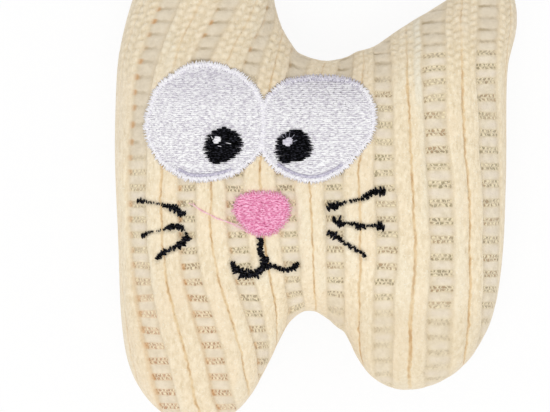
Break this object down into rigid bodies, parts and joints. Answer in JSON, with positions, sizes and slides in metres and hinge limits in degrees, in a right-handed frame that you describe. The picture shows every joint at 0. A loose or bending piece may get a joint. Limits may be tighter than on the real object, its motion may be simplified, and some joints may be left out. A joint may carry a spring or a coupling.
{
  "type": "catnip mouse",
  "caption": "Flat stuffed cat toy of cream rib knit with rounded ears and legs, a cross-eyed embroidered mouse face, and fibre filling round a charge of catnip.",
  "frame": {"origin": "on the surface that the toy lies on, under the middle of its outline", "axes": "+Z from the back to the face, +Y from the legs to the ears, +X to the right of the face as seen"},
  "size_m": [0.0808, 0.1014, 0.0328],
  "materials": {
    "knit": "cream chenille rib knit, matt and plush",
    "filling": "white polyester fibre",
    "leaf": "dried crushed leaf",
    "sewing_thread": "cream sewing thread",
    "white_stitching": "white embroidery thread",
    "black_stitching": "black satin embroidery thread",
    "pink_stitching": "pink embroidery thread"
  },
  "bodies": {
    "body": {"front_knit_body": "knit", "back_knit_body": "knit", "body_filling_front": "filling", "body_filling_back": "filling", "catnip": "leaf", "seam_crotch": "sewing_thread", "seam_right_side": "sewing_thread", "seam_notch": "sewing_thread", "seam_left_side": "sewing_thread", "eye_left": "white_stitching", "pupil_left": "black_stitching", "glint_left": "white_stitching", "eye_right": "white_stitching", "pupil_right": "black_stitching", "glint_right": "white_stitching", "nose": "pink_stitching", "loose_thread": "pink_stitching", "mouth": "black_stitching", "whisker_left_upper": "black_stitching", "whisker_left_middle": "black_stitching", "whisker_left_lower": "black_stitching", "whisker_right_upper": "black_stitching", "whisker_right_middle": "black_stitching", "whisker_right_lower": "black_stitching"},
    "left_ear": {"front_knit_left_ear": "knit", "back_knit_left_ear": "knit", "left_ear_filling": "filling", "seam_left_ear": "sewing_thread"},
    "right_ear": {"front_knit_right_ear": "knit", "back_knit_right_ear": "knit", "right_ear_filling": "filling", "seam_right_ear": "sewing_thread"},
    "left_leg": {"front_knit_left_leg": "knit", "back_knit_left_leg": "knit", "left_leg_filling": "filling", "seam_left_leg": "sewing_thread"},
    "right_leg": {"front_knit_right_leg": "knit", "back_knit_right_leg": "knit", "right_leg_filling": "filling", "seam_right_leg": "sewing_thread"}
  },
  "joints": [
    {"name": "left_ear_bend", "type": "hinge", "parent": "body", "child": "left_ear", "pos_m": [-0.02148, 0.024, 0.01527], "axis": [1, 0, 0], "range_deg": [-20, 20], "stiffness_Nm_per_rad": 0.02, "deforming": ["front_knit_left_ear", "back_knit_left_ear"]},
    {"name": "right_ear_bend", "type": "hinge", "parent": "body", "child": "right_ear", "pos_m": [0.02229, 0.023, 0.01527], "axis": [1, 0, 0], "range_deg": [-20, 20], "stiffness_Nm_per_rad": 0.02, "deforming": ["front_knit_right_ear", "back_knit_right_ear"]},
    {"name": "left_leg_bend", "type": "hinge", "parent": "body", "child": "left_leg", "pos_m": [-0.02208, -0.0281, 0.01527], "axis": [-1, 0, 0], "range_deg": [-20, 20], "stiffness_Nm_per_rad": 0.02, "deforming": ["front_knit_left_leg", "back_knit_left_leg"]},
    {"name": "right_leg_bend", "type": "hinge", "parent": "body", "child": "right_leg", "pos_m": [0.01899, -0.0281, 0.01527], "axis": [-1, 0, 0], "range_deg": [-20, 20], "stiffness_Nm_per_rad": 0.02, "deforming": ["front_knit_right_leg", "back_knit_right_leg"]}
  ]
}
